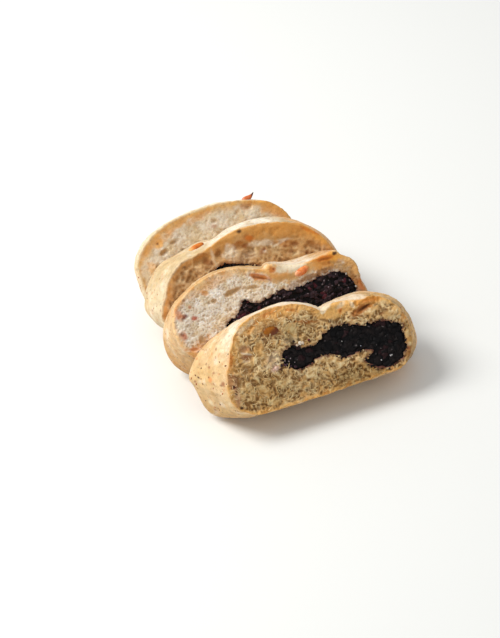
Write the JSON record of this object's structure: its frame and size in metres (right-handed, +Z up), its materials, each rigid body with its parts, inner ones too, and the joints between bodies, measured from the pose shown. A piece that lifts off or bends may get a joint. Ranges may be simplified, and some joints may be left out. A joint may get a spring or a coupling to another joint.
{
  "type": "sliced stuffed bread",
  "caption": "Thick slices of a rustic loaf with a dark berry filling, raisins and an almond, leaning back one on the next in loaf order up to the rounded heel.",
  "frame": {"origin": "centre of the base of the whole row", "axes": "+X along the long axis of every slice, -Y the side that the cut faces look to, +Z up"},
  "size_m": [0.137, 0.1534, 0.0636],
  "materials": {
    "bread": "dry open crumb with a thin pale crust",
    "filling": "moist and grainy",
    "raisin": "wrinkled with a soft gloss",
    "almond": "dry brown skin"
  },
  "bodies": {
    "root": {"bread_slice_1": "bread", "bread_slice_2": "bread", "bread_slice_3": "bread", "bread_slice_4": "bread", "filling_1": "filling", "filling_2": "filling", "filling_3": "filling", "raisin_1": "raisin", "raisin_2": "raisin", "raisin_4": "raisin", "almond_3": "almond"}
  },
  "joints": []
}
